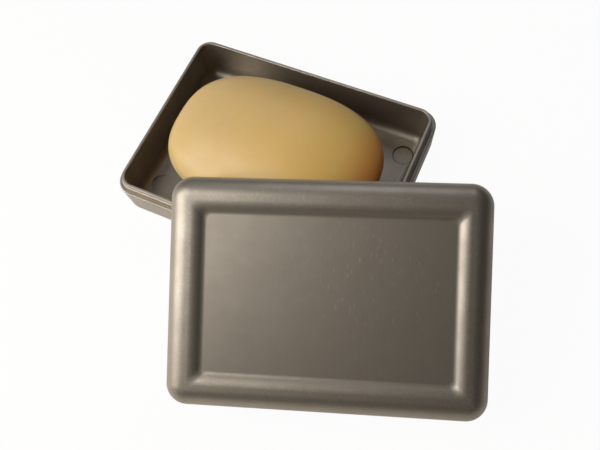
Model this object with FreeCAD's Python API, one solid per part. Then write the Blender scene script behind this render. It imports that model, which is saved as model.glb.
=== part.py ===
"""Travel soap box: a base tray, a bar of soap lying in it, and the lid taken off and leaning on the bar.

Millimetres, +Z up. The origin is the middle of the tray's foot on the table, X runs along the
tray's long side and Y runs from its front to its back.
"""
import FreeCAD
import Part
import math
import os

from FreeCAD import Placement, Rotation, Vector

# Closed box
BOX_LENGTH = 105.0
BOX_WIDTH = 76.0
CORNER_RADIUS = 7.5

# Base tray
TRAY_HEIGHT = 19.6
TRAY_DRAFT = 3.0
TRAY_BOTTOM_ROUND = 4.5
FLOOR_THICKNESS = 2.0
CAVITY_DRAFT = 2.0
CAVITY_ROUND = 4.0
FOOT_RING_WIDTH = 4.0
FOOT_RECESS = 0.6
FOOT_RECESS_CORNER = 4.0
SHOULDER_ROUND = 0.4

# Neck of the tray, which the lid slides over
NECK_HEIGHT = 3.5
RIM_LAND = 1.15
RIM_ROUND = 0.3
SNAP_BEAD_PROUD = 0.5
SNAP_BEAD_HEIGHT = 1.0
SNAP_BEAD_DROP = 1.9
SNAP_BEAD_ROUND = 0.45
LID_FIT_CLEARANCE = 0.15

# Flat marks that the ejector pins leave in the tray's floor
PIN_MARK_DIAMETER = 8.0
PIN_MARK_DEPTH = 0.35
PIN_MARK_END_INSET = 6.6
PIN_MARK_SIDE_INSET = 10.9

# Lid
LID_HEIGHT = 23.2
LID_WALL = 1.3
LID_DRAFT = 1.0
LID_EDGE_ROUND = 6.5
PANEL_MARGIN = 11.4
PANEL_DEPTH = 2.3
PANEL_SLOPE_WIDTH = 2.3
PANEL_CORNER_RADIUS = 1.8
PANEL_CREST_ROUND = 4.6
PANEL_FOOT_ROUND = 2.4

# Bar of soap, sized by the room that the closed box leaves it
SOAP_END_GAP = 7.7
SOAP_SIDE_GAP = 6.6
SOAP_HEADROOM = 1.25
SOAP_SQUARENESS = 2.62
SOAP_PARTING_STEP = 0.5
SOAP_FLAT_DEPTH = 0.4
SOAP_SHIFT_LEFT = 0.5
SOAP_SHIFT_FRONT = 0.95
SOAP_YAW = -0.4

# Lid as it lies: its front edge on the table, its back rim on the bar
LID_YAW = 20.1
LID_SHIFT_RIGHT = 0.3
LID_REACH_FRONT = 38.1
LID_REST_GAP = 0.3
STEEPEST_LEAN = 60.0
LEAN_HALVINGS = 14

# Modelling allowances
OVERCUT = 1.0
LEVEL_TOLERANCE = 0.0001
OUTLINE_POINTS = 32
DOME_LATITUDES = (0.0, 12.0, 25.0, 38.0, 51.0, 63.0, 74.0, 83.0)

neck_inset = LID_WALL + LID_FIT_CLEARANCE + SNAP_BEAD_PROUD
rim_inset = neck_inset + RIM_LAND
shoulder_z = TRAY_HEIGHT - NECK_HEIGHT


def spread(height, degrees):
    """Sideways shift of a drafted wall over a height."""
    return height * math.tan(math.radians(degrees))


def rounded_rectangle(length, width, radius, z):
    """Closed wire of a rectangle with round corners, centred on the Z axis."""
    half_x = length / 2
    half_y = width / 2
    diagonal = radius * (1 - math.sqrt(0.5))
    edges = []
    corners = ((1, 1), (-1, 1), (-1, -1), (1, -1))
    for index, (sx, sy) in enumerate(corners):
        side_point = Vector(sx * half_x, sy * (half_y - radius), z)
        end_point = Vector(sx * (half_x - radius), sy * half_y, z)
        middle = Vector(sx * (half_x - diagonal), sy * (half_y - diagonal), z)
        first, last = (side_point, end_point) if index % 2 == 0 else (end_point, side_point)
        edges.append(Part.Arc(first, middle, last).toShape())
        nx, ny = corners[(index + 1) % 4]
        if index % 2 == 0:
            following = Vector(nx * (half_x - radius), ny * half_y, z)
        else:
            following = Vector(nx * half_x, ny * (half_y - radius), z)
        edges.append(Part.makeLine(last, following))
    return Part.Wire(edges)


def drafted_block(inset_low, z_low, inset_high, z_high, corner_low=None, corner_high=None):
    """Solid between two round-cornered outlines that lie inset from the box's outline."""
    sections = []
    for inset, z, corner in ((inset_low, z_low, corner_low), (inset_high, z_high, corner_high)):
        radius = CORNER_RADIUS - inset if corner is None else corner
        sections.append(rounded_rectangle(BOX_LENGTH - 2 * inset, BOX_WIDTH - 2 * inset, radius, z))
    return Part.makeLoft(sections, True, True)


def edges_at(shape, z, inset_least=-LEVEL_TOLERANCE):
    """Edges lying in the level z that are at least so far inside the box's outline."""
    chosen = []
    for edge in shape.Edges:
        box = edge.BoundBox
        if max(abs(box.ZMin - z), abs(box.ZMax - z)) > LEVEL_TOLERANCE:
            continue
        middle = edge.valueAt((edge.FirstParameter + edge.LastParameter) / 2)
        inset = min(BOX_LENGTH / 2 - abs(middle.x), BOX_WIDTH / 2 - abs(middle.y))
        if inset >= inset_least:
            chosen.append(edge)
    return chosen


def make_tray():
    """Tray with a drafted body, a shoulder for the lid, a thin neck with a snap bead and a plain cavity."""
    foot_inset = spread(shoulder_z, TRAY_DRAFT)
    body = drafted_block(foot_inset, 0, 0, shoulder_z)
    body = body.makeFillet(TRAY_BOTTOM_ROUND, edges_at(body, 0))
    body = body.makeFillet(SHOULDER_ROUND, edges_at(body, shoulder_z))

    neck = drafted_block(neck_inset, FLOOR_THICKNESS, neck_inset, TRAY_HEIGHT)
    bead_inset = neck_inset - SNAP_BEAD_PROUD
    bead_low = TRAY_HEIGHT - SNAP_BEAD_DROP - SNAP_BEAD_HEIGHT / 2
    bead_high = bead_low + SNAP_BEAD_HEIGHT
    bead = drafted_block(bead_inset, bead_low, bead_inset, bead_high)
    bead = bead.makeFillet(SNAP_BEAD_ROUND, edges_at(bead, bead_low) + edges_at(bead, bead_high))
    tray = body.fuse([neck, bead])

    floor_inset = rim_inset + spread(TRAY_HEIGHT - FLOOR_THICKNESS, CAVITY_DRAFT)
    mouth_inset = rim_inset - spread(OVERCUT, CAVITY_DRAFT)
    cavity_corner = CORNER_RADIUS - rim_inset
    cavity = drafted_block(floor_inset, FLOOR_THICKNESS, mouth_inset, TRAY_HEIGHT + OVERCUT,
                           cavity_corner, cavity_corner)
    cavity = cavity.makeFillet(CAVITY_ROUND, edges_at(cavity, FLOOR_THICKNESS))
    tray = tray.cut(cavity)
    tray = tray.makeFillet(RIM_ROUND, edges_at(tray, TRAY_HEIGHT))

    recess_inset = foot_inset + TRAY_BOTTOM_ROUND + FOOT_RING_WIDTH
    recess = drafted_block(recess_inset, -OVERCUT, recess_inset, FOOT_RECESS,
                           FOOT_RECESS_CORNER, FOOT_RECESS_CORNER)
    tray = tray.cut(recess)

    mark_x = BOX_LENGTH / 2 - rim_inset - PIN_MARK_END_INSET
    mark_y = BOX_WIDTH / 2 - rim_inset - PIN_MARK_SIDE_INSET
    mark_z = FLOOR_THICKNESS - PIN_MARK_DEPTH
    marks = [
        Part.makeCylinder(PIN_MARK_DIAMETER / 2, CAVITY_ROUND, Vector(sx * mark_x, sy * mark_y, mark_z))
        for sx in (-1, 1)
        for sy in (-1, 1)
    ]
    return tray.cut(marks)


def make_lid():
    """Lid in its closed attitude, open rim at z = 0: a drafted skirt, a round bead and a sunken panel."""
    crest_inset = spread(LID_HEIGHT, LID_DRAFT)
    shell = drafted_block(0, 0, crest_inset, LID_HEIGHT)
    shell = shell.makeFillet(LID_EDGE_ROUND, edges_at(shell, LID_HEIGHT))

    slope = PANEL_SLOPE_WIDTH / PANEL_DEPTH
    panel_z = LID_HEIGHT - PANEL_DEPTH
    pocket = drafted_block(PANEL_MARGIN, panel_z,
                           PANEL_MARGIN - slope * (PANEL_DEPTH + OVERCUT), LID_HEIGHT + OVERCUT,
                           PANEL_CORNER_RADIUS, PANEL_CORNER_RADIUS + PANEL_SLOPE_WIDTH)
    shell = shell.cut(pocket)
    shell = shell.makeFillet(PANEL_CREST_ROUND,
                             edges_at(shell, LID_HEIGHT, crest_inset + LID_EDGE_ROUND + LID_WALL / 2))
    shell = shell.makeFillet(PANEL_FOOT_ROUND, edges_at(shell, panel_z))

    ceiling_z = LID_HEIGHT - LID_WALL
    hollow = drafted_block(LID_WALL - spread(OVERCUT, LID_DRAFT), -OVERCUT,
                           LID_WALL + spread(ceiling_z, LID_DRAFT), ceiling_z)
    hollow = hollow.makeFillet(LID_EDGE_ROUND - LID_WALL, edges_at(hollow, ceiling_z))
    slope_angle = math.atan2(PANEL_DEPTH, PANEL_SLOPE_WIDTH)
    boss_margin = PANEL_MARGIN - LID_WALL * math.tan(slope_angle / 2)
    boss_z = panel_z - LID_WALL
    boss_corner = PANEL_CORNER_RADIUS + LID_WALL
    boss = drafted_block(boss_margin, boss_z,
                         boss_margin - slope * (PANEL_DEPTH + OVERCUT), ceiling_z + OVERCUT,
                         boss_corner, boss_corner + PANEL_SLOPE_WIDTH)
    boss = boss.makeFillet(PANEL_FOOT_ROUND + LID_WALL, edges_at(boss, boss_z))
    hollow = hollow.cut(boss)
    lid = shell.cut(hollow)
    return lid.makeFillet(RIM_ROUND, edges_at(lid, 0))


def soap_outline(length, width, z):
    """Closed smooth curve of the bar's plan: an oval squarer than an ellipse."""
    points = []
    for step in range(OUTLINE_POINTS):
        angle = 2 * math.pi * step / OUTLINE_POINTS
        c = math.cos(angle)
        s = math.sin(angle)
        reach = (abs(c) ** SOAP_SQUARENESS + abs(s) ** SOAP_SQUARENESS) ** (-1 / SOAP_SQUARENESS)
        points.append(Vector(reach * c * length / 2, reach * s * width / 2, z))
    curve = Part.BSplineCurve()
    curve.interpolate(points, PeriodicFlag=True)
    return Part.Wire(curve.toShape())


def soap_dome(length, width, height):
    """Half of the bar: outlines that shrink along an elliptic section up to one point."""
    sections = []
    for latitude in DOME_LATITUDES:
        share = math.cos(math.radians(latitude))
        z = height * math.sin(math.radians(latitude))
        sections.append(soap_outline(length * share, width * share, z))
    sections.append(Part.Vertex(0, 0, height))
    return Part.makeLoft(sections, True, False)


def make_soap():
    """Bar pressed in two halves, the lower one a little smaller, worn flat where it lies."""
    length = BOX_LENGTH - 2 * (rim_inset + SOAP_END_GAP)
    width = BOX_WIDTH - 2 * (rim_inset + SOAP_SIDE_GAP)
    inner_height = shoulder_z + LID_HEIGHT - PANEL_DEPTH - LID_WALL - FLOOR_THICKNESS
    height = inner_height - SOAP_HEADROOM + SOAP_FLAT_DEPTH
    upper = soap_dome(length, width, height / 2)
    lower = soap_dome(length - 2 * SOAP_PARTING_STEP, width - 2 * SOAP_PARTING_STEP, height / 2)
    lower.rotate(Vector(0, 0, 0), Vector(1, 0, 0), 180)
    bar = upper.fuse(lower)
    flat_z = SOAP_FLAT_DEPTH - height / 2
    worn_off = Part.makeBox(length, width, height, Vector(-length / 2, -width / 2, flat_z - height))
    bar = bar.cut(worn_off)
    middle_z = FLOOR_THICKNESS + height / 2 - SOAP_FLAT_DEPTH
    middle = Vector(-SOAP_SHIFT_LEFT, -SOAP_SHIFT_FRONT, middle_z)
    bar.Placement = Placement(middle, Rotation(Vector(0, 0, 1), SOAP_YAW))
    return bar


def leaning(lid, tilt):
    """Copy of the lid tilted about its front edge, which stays on the table."""
    angle = math.radians(tilt)
    edge_lift = RIM_ROUND * (math.sin(angle) + math.cos(angle) - 1)
    front = Vector(BOX_LENGTH / 2 + LID_SHIFT_RIGHT, -BOX_WIDTH / 2 - LID_REACH_FRONT, -edge_lift)
    turn = Rotation(Vector(0, 0, 1), LID_YAW).multiply(Rotation(Vector(1, 0, 0), tilt))
    copy = lid.copy()
    copy.Placement = Placement(front, turn).multiply(Placement(Vector(0, BOX_WIDTH / 2, 0), Rotation()))
    return copy


def lean_angle(lid, support):
    """Tilt at which the lid lies on its support with the resting gap."""
    low = 0.0
    high = STEEPEST_LEAN
    for _ in range(LEAN_HALVINGS):
        tilt = (low + high) / 2
        gap = leaning(lid, tilt).distToShape(support)[0]
        if gap < LID_REST_GAP:
            low = tilt
        else:
            high = tilt
    return high


tray = make_tray()
soap = make_soap()
closed_lid = make_lid()
tilt = lean_angle(closed_lid, Part.makeCompound([tray, soap]))
lid = leaning(closed_lid, tilt)

os.makedirs("parts", exist_ok=True)
for node, shape in (("base_tray", tray), ("soap_bar", soap), ("lid", lid)):
    solid = shape.Solids[0]
    solid.exportStep("parts/" + node + ".step")
    print(node, "solids", len(shape.Solids), "valid", shape.isValid(), "volume", round(shape.Volume, 1))
print("lid tilt", round(tilt, 3))
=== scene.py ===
"""Looks of an open travel soap box: tray, bar of soap and leaning lid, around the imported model."""

import math

import bpy
from mathutils import Matrix, Vector


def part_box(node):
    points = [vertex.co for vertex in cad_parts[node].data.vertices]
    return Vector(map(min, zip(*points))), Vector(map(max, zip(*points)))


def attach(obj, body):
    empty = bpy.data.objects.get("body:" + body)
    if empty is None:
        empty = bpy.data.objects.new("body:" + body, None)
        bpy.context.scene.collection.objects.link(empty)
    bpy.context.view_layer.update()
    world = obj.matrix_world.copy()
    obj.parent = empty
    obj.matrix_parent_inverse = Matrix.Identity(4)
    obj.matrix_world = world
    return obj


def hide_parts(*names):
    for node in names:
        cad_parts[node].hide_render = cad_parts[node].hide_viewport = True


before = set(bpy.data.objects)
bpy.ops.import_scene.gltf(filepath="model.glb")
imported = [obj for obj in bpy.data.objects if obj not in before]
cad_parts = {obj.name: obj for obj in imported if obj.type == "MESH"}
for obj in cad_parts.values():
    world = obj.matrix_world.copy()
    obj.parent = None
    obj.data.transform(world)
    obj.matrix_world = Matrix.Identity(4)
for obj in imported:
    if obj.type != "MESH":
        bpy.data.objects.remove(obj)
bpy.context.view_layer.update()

# Base tray
# A shallow tray with a thin neck and a snap bead that the lid slips over. Polypropylene coloured with
# aluminium flake, injection moulded in one shot; the ejector pins leave four discs in its floor.
MM = 0.001
PIGMENT_GREY = "#a29683"
PIGMENT_DARK = "#998c79"
RUBBED_GREY = "#c8c1b4"
NOISE_LOW = 0.35
NOISE_HIGH = 0.65
CLOUD_SIZE = 9.0
STREAK_ACROSS = 0.7
STREAK_ALONG = 45.0
STREAK_SHARE = 0.15
SCRATCH_ACROSS = 0.45
SCRATCH_ALONG = 3.2
SCRATCH_SLANT = math.radians(17)
SCRATCH_CUT = (0.68, 0.75)
SCRATCHES_FAR = 0.08
SCRATCHES_NEAR = 0.85
GRAIN_SIZE = 0.6
GRAIN_HEIGHT = 0.008
SPECK_CUT = (0.52, 0.7)
WAVE_SIZE = 7.0
WAVE_HEIGHT = 0.03
EDGE_WEAR = 0.35
ROUGHNESS_DARK = 0.5
ROUGHNESS_GREY = 0.45
FLAKE_SHARE = 0.82
SKIN_ROUGHNESS = 0.45
SKIN_IOR = 1.65
RIM_BAND = 0.5
TRAY_RIM_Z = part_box("base_tray")[1].z / MM
TRAY_SCUFFS = [(-9.5, 34.8, TRAY_RIM_Z, 2.2)]
TRAY_SCRATCHED = (0.0, -38.0, 10.0, 60.0)
TRAY_FLOOR = (1.0, 3.0)
DISC_PLACE = (42.8, 24.0, 0.0)
DISC_RADIUS = 4.0
# Painted shade: a thin dark ring on the floor round the back right disc stands for the shadow in its step.
DISC_RING_SHADE_WIDTH = 0.22
RING_SHADE_BROWN = "#332b23"


def linear(code):
    """A colour given as an sRGB hex value, in linear light with full alpha."""
    shares = [int(code[i:i + 2], 16) / 255 for i in (1, 3, 5)]
    return [s / 12.92 if s <= 0.04045 else ((s + 0.055) / 1.055) ** 2.4 for s in shares] + [1.0]


def add_node(tree, kind, inputs=None, **settings):
    """Add one node with its settings, and fill its inputs with values or with other nodes' outputs."""
    node = tree.nodes.new(kind)
    for name, value in settings.items():
        setattr(node, name, value)
    for socket, value in (inputs or {}).items():
        if isinstance(value, bpy.types.NodeSocket):
            tree.links.new(value, node.inputs[socket])
        else:
            node.inputs[socket].default_value = value
    return node


def satin_polypropylene(name, place, turn, worn_from, worn_to, scuffs, scratched):
    """Polypropylene with aluminium flake: a soft metallic sheen, dark where nothing bright is mirrored.

    Place and turn are those of the moulding, so that the patterns lie in its own axes, in millimetres.
    The surface is rubbed pale between the two levels and at the scuffs, and scratched around one spot.
    Scuffs and spot are given as x, y, z and radius.
    """
    material = bpy.data.materials.new(name)
    material.use_nodes = True
    tree = material.node_tree
    tree.nodes.clear()
    where = add_node(tree, "ShaderNodeTexCoord").outputs["Object"]
    spot = add_node(tree, "ShaderNodeMapping", {
        "Vector": where, "Location": place, "Rotation": turn, "Scale": (MM, MM, MM),
    }, vector_type="TEXTURE").outputs["Vector"]

    # The pigment settles in faint clouds, and the melt leaves fine streaks along the short side.
    cloud = add_node(tree, "ShaderNodeTexNoise", {
        "Vector": spot, "Scale": 1 / CLOUD_SIZE, "Detail": 3.0, "Roughness": 0.55,
    })
    along = add_node(tree, "ShaderNodeMapping", {
        "Vector": spot, "Scale": (1 / STREAK_ACROSS, 1 / STREAK_ALONG, 1 / STREAK_ALONG),
    }, vector_type="POINT")
    streak = add_node(tree, "ShaderNodeTexNoise", {
        "Vector": along.outputs["Vector"], "Scale": 1.0, "Detail": 2.0, "Roughness": 0.5,
    })
    blend = add_node(tree, "ShaderNodeMix", {
        0: STREAK_SHARE, 2: cloud.outputs["Fac"], 3: streak.outputs["Fac"],
    })
    shade = add_node(tree, "ShaderNodeMapRange", {0: blend.outputs[0], 1: NOISE_LOW, 2: NOISE_HIGH})
    pigment = add_node(tree, "ShaderNodeMix", {
        0: shade.outputs[0], 6: linear(PIGMENT_DARK), 7: linear(PIGMENT_GREY),
    }, data_type="RGBA")

    # Short scratches from handling, drawn wider than the hair lines they are, so that they show.
    slant = add_node(tree, "ShaderNodeMapping", {
        "Vector": spot, "Rotation": (0, 0, SCRATCH_SLANT),
        "Scale": (1 / SCRATCH_ACROSS, 1 / SCRATCH_ALONG, 1 / SCRATCH_ALONG),
    }, vector_type="POINT")
    line = add_node(tree, "ShaderNodeTexNoise", {
        "Vector": slant.outputs["Vector"], "Scale": 1.0, "Detail": 1.0, "Roughness": 0.4,
    })
    thin = add_node(tree, "ShaderNodeMapRange", {
        0: line.outputs["Fac"], 1: SCRATCH_CUT[0], 2: SCRATCH_CUT[1],
    })
    apart = add_node(tree, "ShaderNodeVectorMath", {0: spot, 1: scratched[:3]}, operation="DISTANCE")
    patched = add_node(tree, "ShaderNodeMapRange", {
        0: apart.outputs["Value"], 1: scratched[3], 2: 0.0, 3: SCRATCHES_FAR, 4: SCRATCHES_NEAR,
    })
    scratch = add_node(tree, "ShaderNodeMath", {
        0: thin.outputs[0], 1: patched.outputs[0],
    }, operation="MULTIPLY")

    # Crests and corners that rub on other things are paler and slightly pitted.
    grain = add_node(tree, "ShaderNodeTexNoise", {
        "Vector": spot, "Scale": 1 / GRAIN_SIZE, "Detail": 3.0, "Roughness": 0.65,
    })
    speck = add_node(tree, "ShaderNodeMapRange", {
        0: grain.outputs["Fac"], 1: SPECK_CUT[0], 2: SPECK_CUT[1],
    })
    height = add_node(tree, "ShaderNodeSeparateXYZ", {0: spot}).outputs["Z"]
    worn = add_node(tree, "ShaderNodeMapRange", {
        0: height, 1: worn_from, 2: worn_to, 4: EDGE_WEAR,
    }).outputs[0]
    for x, y, z, radius in scuffs:
        away = add_node(tree, "ShaderNodeVectorMath", {0: spot, 1: (x, y, z)}, operation="DISTANCE")
        near = add_node(tree, "ShaderNodeMapRange", {0: away.outputs["Value"], 1: radius, 2: 0.0})
        worn = add_node(tree, "ShaderNodeMath", {0: worn, 1: near.outputs[0]}, operation="MAXIMUM").outputs[0]
    wear = add_node(tree, "ShaderNodeMath", {0: worn, 1: speck.outputs[0]}, operation="MULTIPLY")
    pale = add_node(tree, "ShaderNodeMath", {0: scratch.outputs[0], 1: wear.outputs[0]}, operation="MAXIMUM")
    colour = add_node(tree, "ShaderNodeMix", {
        0: pale.outputs[0], 6: pigment.outputs[2], 7: linear(RUBBED_GREY),
    }, data_type="RGBA")
    sheen = add_node(tree, "ShaderNodeMapRange", {
        0: shade.outputs[0], 3: ROUGHNESS_DARK, 4: ROUGHNESS_GREY,
    })

    # Uneven cooling leaves long waves. The flake leaves a grain, drawn coarser than it is, so that it shows.
    wave = add_node(tree, "ShaderNodeTexNoise", {"Vector": spot, "Scale": 1 / WAVE_SIZE, "Detail": 1.0})
    wavy = add_node(tree, "ShaderNodeBump", {
        "Height": wave.outputs["Fac"], "Strength": 1.0, "Distance": WAVE_HEIGHT * MM,
    })
    fine = add_node(tree, "ShaderNodeBump", {
        "Height": grain.outputs["Fac"], "Strength": 1.0, "Distance": GRAIN_HEIGHT * MM,
        "Normal": wavy.outputs["Normal"],
    })

    # The flake mirrors in its own colour, and the clear skin of plastic over it adds a neutral gloss.
    shader = add_node(tree, "ShaderNodeBsdfPrincipled", {
        "Base Color": colour.outputs[2], "Metallic": FLAKE_SHARE, "Roughness": sheen.outputs[0],
        "Coat Weight": 1.0, "Coat Roughness": SKIN_ROUGHNESS, "Coat IOR": SKIN_IOR,
        "Normal": fine.outputs["Normal"], "Coat Normal": fine.outputs["Normal"],
    })
    add_node(tree, "ShaderNodeOutputMaterial", {"Surface": shader.outputs[0]})
    return material


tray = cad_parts["base_tray"]
tray_plastic = satin_polypropylene(
    "satin_polypropylene_tray", (0, 0, 0), (0, 0, 0), TRAY_RIM_Z - RIM_BAND, TRAY_RIM_Z,
    TRAY_SCUFFS, TRAY_SCRATCHED)
tray.data.materials[0] = tray_plastic

# A thin dark brown ring is painted on the floor round the back right disc: painted shade in the step at its
# edge.
tree = tray_plastic.node_tree
shader = tree.nodes["Principled BSDF"]
where = add_node(tree, "ShaderNodeTexCoord").outputs["Object"]
spot = add_node(tree, "ShaderNodeVectorMath", {0: where, 3: 1 / MM}, operation="SCALE").outputs["Vector"]
level = add_node(tree, "ShaderNodeVectorMath", {0: spot, 1: (1, 1, 0)}, operation="MULTIPLY")
away = add_node(tree, "ShaderNodeVectorMath", {
    0: level.outputs["Vector"], 1: DISC_PLACE,
}, operation="DISTANCE")
ring = add_node(tree, "ShaderNodeMath", {
    0: away.outputs["Value"], 1: DISC_RADIUS, 2: DISC_RING_SHADE_WIDTH,
}, operation="COMPARE")
height = add_node(tree, "ShaderNodeSeparateXYZ", {0: spot}).outputs["Z"]
on_floor = add_node(tree, "ShaderNodeMath", {
    0: height, 1: sum(TRAY_FLOOR) / 2, 2: (TRAY_FLOOR[1] - TRAY_FLOOR[0]) / 2,
}, operation="COMPARE")
# The painted shade ring lies only on the floor level, round the one disc.
ring_shade = add_node(tree, "ShaderNodeMath", {0: ring.outputs[0], 1: on_floor.outputs[0]}, operation="MULTIPLY")
unshaded_colour = shader.inputs["Base Color"].links[0].from_socket
ring_shaded = add_node(tree, "ShaderNodeMix", {
    0: ring_shade.outputs[0], 6: unshaded_colour, 7: linear(RING_SHADE_BROWN),
}, data_type="RGBA")
tree.links.new(ring_shaded.outputs[2], shader.inputs["Base Color"])

# Bar of soap
# A household bar of plain soap, milled and pressed between two dies, so that a small step runs
# round its middle. It lies loose on the tray's floor.
SOAP_LENGTH = 83.4
SOAP_WIDTH = 56.6
SOAP_SQUARENESS = 2.62
SOAP_STEP = 0.5
SOAP_FLAT = 0.4
SOAP_YAW = math.radians(-0.4)
SOAP_ROWS = 72
SOAP_COLUMNS = 192
SOAP_CREAM = "#dcbc80"
SOAP_DULL = "#d8b678"
# Painted shade and glow: the bar's right half is tinted ochre and its end amber, for shade and light shining
# through.
SOAP_SHADE_TINT = "#efc36c"
SOAP_GLOW_TINT = "#f0903e"
SHADE_TINT_START = -26.0
SHADE_TINT_END = 24.0
GLOW_TINT_START = 28.0
GLOW_TINT_END = 42.0
SMEAR_SIZE = 14.0
SMEAR_HEIGHT = 0.08
PIT_SIZE = 1.6
PIT_HEIGHT = 0.02
SOAP_ROUGHNESS_DULL = 0.5
SOAP_ROUGHNESS_CREAM = 0.4
SOAP_IOR = 1.46
GLOW_SHARE = 0.4
GLOW_DEPTH = 12.0
GLOW_BY_COLOUR = (1.0, 0.4, 0.12)
soap_low, soap_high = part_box("soap_bar")
soap_middle = (soap_low + soap_high) / 2
soap_half_height = (soap_high.z - soap_low.z) / MM / 2 + SOAP_FLAT / 2
soap_middle.z = soap_high.z - soap_half_height * MM


def soap_ring(latitude, drawn_in):
    """Points of one level of the bar, in millimetres from its middle."""
    points = []
    for column in range(SOAP_COLUMNS):
        angle = 2 * math.pi * column / SOAP_COLUMNS
        across = math.cos(angle)
        along = math.sin(angle)
        reach = (abs(across) ** SOAP_SQUARENESS + abs(along) ** SOAP_SQUARENESS) ** (-1 / SOAP_SQUARENESS)
        share = math.cos(latitude)
        points.append((
            reach * across * (SOAP_LENGTH / 2 - drawn_in) * share,
            reach * along * (SOAP_WIDTH / 2 - drawn_in) * share,
            soap_half_height * math.sin(latitude),
        ))
    return points


soap_rings = []
flat_latitude = -math.asin(1 - SOAP_FLAT / soap_half_height)
for row in range(SOAP_ROWS + 1):
    soap_rings.append(soap_ring(flat_latitude * (1 - row / SOAP_ROWS), SOAP_STEP))
for row in range(SOAP_ROWS):
    soap_rings.append(soap_ring(math.pi / 2 * row / SOAP_ROWS, 0.0))
soap_points = [point for ring in soap_rings for point in ring]
soap_faces = []
for row in range(len(soap_rings) - 1):
    for column in range(SOAP_COLUMNS):
        after = (column + 1) % SOAP_COLUMNS
        low = row * SOAP_COLUMNS
        high = low + SOAP_COLUMNS
        soap_faces.append((low + column, low + after, high + after, high + column))
soap_faces.append(tuple(range(SOAP_COLUMNS))[::-1])
top_point = len(soap_points)
soap_points.append((0.0, 0.0, soap_half_height))
last_ring = top_point - SOAP_COLUMNS
for column in range(SOAP_COLUMNS):
    soap_faces.append((last_ring + column, last_ring + (column + 1) % SOAP_COLUMNS, top_point))

soap_mesh = bpy.data.meshes.new("bar_of_soap")
soap_place = Matrix.Translation(soap_middle) @ Matrix.Rotation(SOAP_YAW, 4, "Z") @ Matrix.Scale(MM, 4)
soap_mesh.from_pydata([soap_place @ Vector(point) for point in soap_points], [], soap_faces)
soap_mesh.shade_smooth()
soap = bpy.data.objects.new("bar_of_soap", soap_mesh)
bpy.context.scene.collection.objects.link(soap)

# Pressed soap is slightly translucent: light sinks in and comes back warmer. Its right half, away from the
# window, is painted ochre as shade, and its end amber as a painted glow of light shining through. The skin is
# dull, with faint smears and shallow pits.
pressed_soap = bpy.data.materials.new("pressed_soap")
pressed_soap.use_nodes = True
tree = pressed_soap.node_tree
tree.nodes.clear()
where = add_node(tree, "ShaderNodeTexCoord").outputs["Object"]
smear = add_node(tree, "ShaderNodeTexNoise", {
    "Vector": where, "Scale": 1 / (SMEAR_SIZE * MM), "Detail": 4.0, "Roughness": 0.6, "Distortion": 0.6,
})
smeared = add_node(tree, "ShaderNodeMapRange", {0: smear.outputs["Fac"], 1: NOISE_LOW, 2: NOISE_HIGH})
cream = add_node(tree, "ShaderNodeMix", {
    0: smeared.outputs[0], 6: linear(SOAP_DULL), 7: linear(SOAP_CREAM),
}, data_type="RGBA")
# Painted shade and glow along the bar's length: ochre over the right half, amber at its end.
lengthwise = add_node(tree, "ShaderNodeSeparateXYZ", {0: where}).outputs["X"]
shade_tint_share = add_node(tree, "ShaderNodeMapRange", {0: lengthwise, 1: SHADE_TINT_START * MM, 2: SHADE_TINT_END * MM})
shade_tinted = add_node(tree, "ShaderNodeMix", {
    0: shade_tint_share.outputs[0], 6: cream.outputs[2], 7: linear(SOAP_SHADE_TINT),
}, data_type="RGBA")
glow_tint_share = add_node(tree, "ShaderNodeMapRange", {0: lengthwise, 1: GLOW_TINT_START * MM, 2: GLOW_TINT_END * MM})
colour = add_node(tree, "ShaderNodeMix", {
    0: glow_tint_share.outputs[0], 6: shade_tinted.outputs[2], 7: linear(SOAP_GLOW_TINT),
}, data_type="RGBA")
satin = add_node(tree, "ShaderNodeMapRange", {
    0: smeared.outputs[0], 3: SOAP_ROUGHNESS_DULL, 4: SOAP_ROUGHNESS_CREAM,
})
pit = add_node(tree, "ShaderNodeTexNoise", {"Vector": where, "Scale": 1 / (PIT_SIZE * MM), "Detail": 3.0})
pitted = add_node(tree, "ShaderNodeBump", {
    "Height": pit.outputs["Fac"], "Strength": 1.0, "Distance": PIT_HEIGHT * MM,
})
uneven = add_node(tree, "ShaderNodeBump", {
    "Height": smear.outputs["Fac"], "Strength": 1.0, "Distance": SMEAR_HEIGHT * MM,
    "Normal": pitted.outputs["Normal"],
})
shader = add_node(tree, "ShaderNodeBsdfPrincipled", {
    "Base Color": colour.outputs[2], "Roughness": satin.outputs[0], "IOR": SOAP_IOR,
    "Subsurface Weight": GLOW_SHARE, "Subsurface Radius": GLOW_BY_COLOUR,
    "Subsurface Scale": GLOW_DEPTH * MM,
    "Normal": uneven.outputs["Normal"],
})
add_node(tree, "ShaderNodeOutputMaterial", {"Surface": shader.outputs[0]})
soap_mesh.materials.append(pressed_soap)
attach(soap, "soap")
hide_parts("soap_bar")

# Lid
# The matching cover, moulded from the same pigmented polypropylene: a drafted skirt, a round bead
# all round the top and a sunken panel. It is off, front edge on the table and back rim on the bar.
LID_LENGTH = 105.0
LID_WIDTH = 76.0
LID_CORNER = 7.5
LID_CREST_Z = 23.2
LID_WALL = 1.3
LID_DRAFT = math.radians(1.0)
LID_EDGE_ROUND = 6.5
LID_RIM_ROUND = 0.3
CREST_BAND = 1.6
CREST_FLAT = 1.0
BEAD_ROUND = 6.3
SLOPE_LEAN = math.radians(32)
FOOT_ROUND = 3.0
PANEL_CORNER = 2.0
PANEL_OFFSET = 0.6
FLAT_BORDER = 0.5
ROUND_STEPS = 20
CORNER_STEPS = 16
LID_YAW = math.radians(20.1)
LID_TILT = math.radians(24.48)
LID_FRONT = Vector((52.8, -76.08, -0.09)) * MM
LID_SCUFFS = [(-39.2, -27.5, 21.5, 5.0), (41.1, -26.3, 21.5, 5.0), (47.6, -29.7, 22.0, 7.0)]
LID_SCRATCHED = (14.0, 6.0, 21.7, 30.0)
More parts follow.
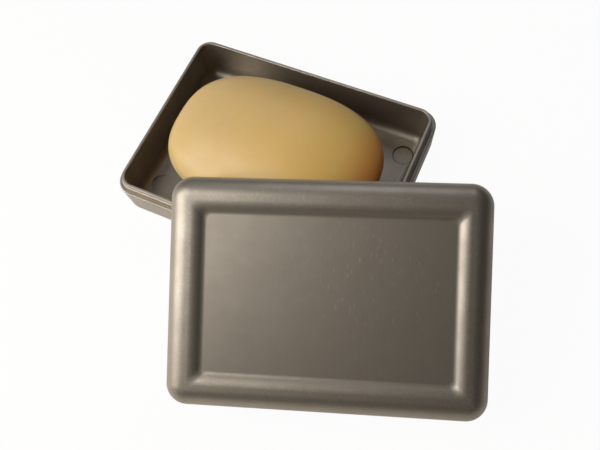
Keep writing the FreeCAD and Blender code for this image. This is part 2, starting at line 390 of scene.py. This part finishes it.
bead_inset = (LID_CREST_Z - LID_EDGE_ROUND) * math.tan(LID_DRAFT) + LID_EDGE_ROUND / math.cos(LID_DRAFT)
foot_inset = bead_inset + CREST_FLAT + (BEAD_ROUND + FOOT_ROUND) * math.sin(SLOPE_LEAN)


def round_run(inset, z, radius, lean_from, lean_to):
    """Points of an arc in the lid's section, by the lean of its surface from level; hollow if radius < 0."""
    leans = [lean_from + (lean_to - lean_from) * step / ROUND_STEPS for step in range(ROUND_STEPS + 1)]
    return [(inset + radius * math.sin(lean), z + radius * math.cos(lean)) for lean in leans]


def lid_section(depth):
    """Inset and height of one skin of the lid from the rim to the panel, so deep under the outer one."""
    foot_z = LID_CREST_Z - BEAD_ROUND + (BEAD_ROUND + FOOT_ROUND) * math.cos(SLOPE_LEAN)
    edge_z = LID_CREST_Z - LID_EDGE_ROUND
    edge = round_run(bead_inset, edge_z, LID_EDGE_ROUND - depth, LID_DRAFT - math.pi / 2, 0)
    bead = round_run(bead_inset + CREST_FLAT, LID_CREST_Z - BEAD_ROUND, BEAD_ROUND - depth, 0, SLOPE_LEAN)
    foot = round_run(foot_inset, foot_z, -FOOT_ROUND - depth, SLOPE_LEAN, 0)
    return edge + bead + foot[1:] + [(foot_inset + FLAT_BORDER, foot[-1][1])]


def lid_ring(inset, z):
    """Points of one round-cornered outline of the lid, in millimetres in its own axes.

    The panel lies a little to the right of the middle, so the outlines shift step by step towards it.
    """
    radius = max(LID_CORNER - inset, PANEL_CORNER)
    shift = PANEL_OFFSET * min(max((inset - LID_WALL) / (foot_inset - LID_WALL), 0.0), 1.0)
    points = []
    for quarter, (sx, sy) in enumerate(((1, 1), (-1, 1), (-1, -1), (1, -1))):
        for step in range(CORNER_STEPS + 1):
            angle = math.pi / 2 * (quarter + step / CORNER_STEPS)
            points.append((
                sx * (LID_LENGTH / 2 - inset - radius) + radius * math.cos(angle) + shift,
                sy * (LID_WIDTH / 2 - inset - radius) + radius * math.sin(angle),
                z,
            ))
    return points


rim_outer = round_run(LID_RIM_ROUND, LID_RIM_ROUND, LID_RIM_ROUND, -math.pi / 2, -math.pi)
rim_inner = round_run(LID_WALL - LID_RIM_ROUND, LID_RIM_ROUND, LID_RIM_ROUND, math.pi, math.pi / 2)
lid_skin = lid_section(0)[::-1] + rim_outer + rim_inner + lid_section(LID_WALL)
lid_points = [point for inset, z in lid_skin for point in lid_ring(inset, z)]
ring_size = 4 * (CORNER_STEPS + 1)
lid_faces = [tuple(range(ring_size)), tuple(range(len(lid_points) - ring_size, len(lid_points)))[::-1]]
for row in range(len(lid_skin) - 1):
    for column in range(ring_size):
        after = (column + 1) % ring_size
        low = row * ring_size
        high = low + ring_size
        lid_faces.append((low + after, low + column, high + column, high + after))

lid_turn = Matrix.Rotation(LID_YAW, 3, "Z") @ Matrix.Rotation(LID_TILT, 3, "X")
lid_middle = LID_FRONT + lid_turn @ Vector((0.0, LID_WIDTH / 2 * MM, 0.0))
lid_place = Matrix.Translation(lid_middle) @ lid_turn.to_4x4() @ Matrix.Scale(MM, 4)
lid_mesh = bpy.data.meshes.new("lid_cover")
lid_mesh.from_pydata([lid_place @ Vector(point) for point in lid_points], [], lid_faces)
lid_mesh.shade_smooth()
lid_mesh.materials.append(satin_polypropylene(
    "satin_polypropylene_lid", lid_middle, (LID_TILT, 0, LID_YAW),
    LID_CREST_Z - CREST_BAND, LID_CREST_Z, LID_SCUFFS, LID_SCRATCHED))
lid = bpy.data.objects.new("lid_cover", lid_mesh)
bpy.context.scene.collection.objects.link(lid)
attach(lid, "lid")
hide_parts("lid")

# Table
# A plain sheet of white paper. It is shown nearly as bright white, and so is its mirror image in
# the plastic, but faintly; the rest of it is lit, so that it keeps the shadow and throws light back.
SHEET_REACH = 3.0
WHITE_SHARE = 0.955
MIRRORED_SHARE = 0.15
PAPER_WHITE = "#f3ece0"
sheet_mesh = bpy.data.meshes.new("table_sheet")
corners = [(-1, -1), (1, -1), (1, 1), (-1, 1)]
sheet_mesh.from_pydata([(SHEET_REACH * x, SHEET_REACH * y, 0.0) for x, y in corners], [], [(0, 1, 2, 3)])
sheet = bpy.data.objects.new("table_sheet", sheet_mesh)
bpy.context.scene.collection.objects.link(sheet)
paper = bpy.data.materials.new("white_paper")
paper.use_nodes = True
tree = paper.node_tree
tree.nodes.clear()
path = add_node(tree, "ShaderNodeLightPath").outputs
mirrored = add_node(tree, "ShaderNodeMath", {
    0: path["Is Glossy Ray"], 1: path["Is Transmission Ray"],
}, operation="MAXIMUM")
dimmed = add_node(tree, "ShaderNodeMath", {0: mirrored.outputs[0], 1: MIRRORED_SHARE}, operation="MULTIPLY")
share = add_node(tree, "ShaderNodeMath", {
    0: path["Is Camera Ray"], 1: WHITE_SHARE, 2: dimmed.outputs[0],
}, operation="MULTIPLY_ADD")
plain = add_node(tree, "ShaderNodeBsdfDiffuse", {"Color": linear(PAPER_WHITE)})
white = add_node(tree, "ShaderNodeEmission", {"Color": (1, 1, 1, 1), "Strength": 1.0})
both = add_node(tree, "ShaderNodeMixShader", {0: share.outputs[0], 1: plain.outputs[0], 2: white.outputs[0]})
add_node(tree, "ShaderNodeOutputMaterial", {"Surface": both.outputs[0]})
sheet_mesh.materials.append(paper)

# Lamps
# A tall soft window close by on the left, a weak cool one behind, and very little light from the room,
# which is shown as white as the table and mirrored faintly.
BOX_MIDDLE = Vector((0.03, -0.035, 0.02))
ROOM_LIGHT = 0.09
ROOM_MIRRORED = 0.03


def add_window(name, distance, azimuth, elevation, width, height, power, colour):
    """A soft upright lamp that faces the box, its azimuth counted from +X towards +Y."""
    level = distance * math.cos(math.radians(elevation))
    towards = Vector((
        level * math.cos(math.radians(azimuth)),
        level * math.sin(math.radians(azimuth)),
        distance * math.sin(math.radians(elevation)),
    ))
    lamp = bpy.data.lights.new(name, "AREA")
    lamp.shape = "RECTANGLE"
    lamp.size = width
    lamp.size_y = height
    lamp.energy = power
    lamp.color = linear(colour)[:3]
    holder = bpy.data.objects.new(name, lamp)
    holder.location = BOX_MIDDLE + towards
    holder.rotation_euler = (-towards).to_track_quat("-Z", "Y").to_euler()
    bpy.context.scene.collection.objects.link(holder)


add_window("key_window", 0.42, 212, 41, 0.27, 0.44, 1.85, "#fdfdff")
add_window("back_window", 0.7, 108, 44, 0.28, 0.36, 0.66, "#e8f0ff")
world = bpy.data.worlds.new("room")
bpy.context.scene.world = world
world.use_nodes = True
tree = world.node_tree
tree.nodes.clear()
path = add_node(tree, "ShaderNodeLightPath").outputs
mirrored = add_node(tree, "ShaderNodeMath", {
    0: path["Is Glossy Ray"], 1: path["Is Transmission Ray"],
}, operation="MAXIMUM")
dimmed = add_node(tree, "ShaderNodeMapRange", {0: mirrored.outputs[0], 3: ROOM_LIGHT, 4: ROOM_MIRRORED})
strength = add_node(tree, "ShaderNodeMath", {
    0: path["Is Camera Ray"], 1: dimmed.outputs[0],
}, operation="MAXIMUM")
room = add_node(tree, "ShaderNodeBackground", {"Color": (1, 1, 1, 1), "Strength": strength.outputs[0]})
add_node(tree, "ShaderNodeOutputWorld", {"Surface": room.outputs[0]})

# Camera
# Where the photograph was taken from: above the right front corner, rolled a little.
CAMERA_PLACE = Vector((81.72, -109.93, 243.84)) * MM
CAMERA_AZIMUTH = math.radians(35.514)
CAMERA_ELEVATION = math.radians(65.321)
CAMERA_ROLL = math.radians(-12.19)
FOCAL_PIXELS = 686.9
PHOTO_WIDTH = 600
SENSOR_WIDTH = 36.0
back = Vector((
    math.sin(CAMERA_AZIMUTH) * math.cos(CAMERA_ELEVATION),
    -math.cos(CAMERA_AZIMUTH) * math.cos(CAMERA_ELEVATION),
    math.sin(CAMERA_ELEVATION),
))
level = Vector((math.cos(CAMERA_AZIMUTH), math.sin(CAMERA_AZIMUTH), 0.0))
upright = back.cross(level)
right = math.cos(CAMERA_ROLL) * level + math.sin(CAMERA_ROLL) * upright
up = math.cos(CAMERA_ROLL) * upright - math.sin(CAMERA_ROLL) * level
lens = bpy.data.cameras.new("photo_camera")
lens.sensor_fit = "HORIZONTAL"
lens.sensor_width = SENSOR_WIDTH
lens.lens = FOCAL_PIXELS * SENSOR_WIDTH / PHOTO_WIDTH
lens.clip_start = 0.01
camera = bpy.data.objects.new("photo_camera", lens)
camera.matrix_world = Matrix.Translation(CAMERA_PLACE) @ Matrix((right, up, back)).transposed().to_4x4()
bpy.context.scene.collection.objects.link(camera)
bpy.context.scene.camera = camera
bpy.context.scene.view_settings.view_transform = "Standard"
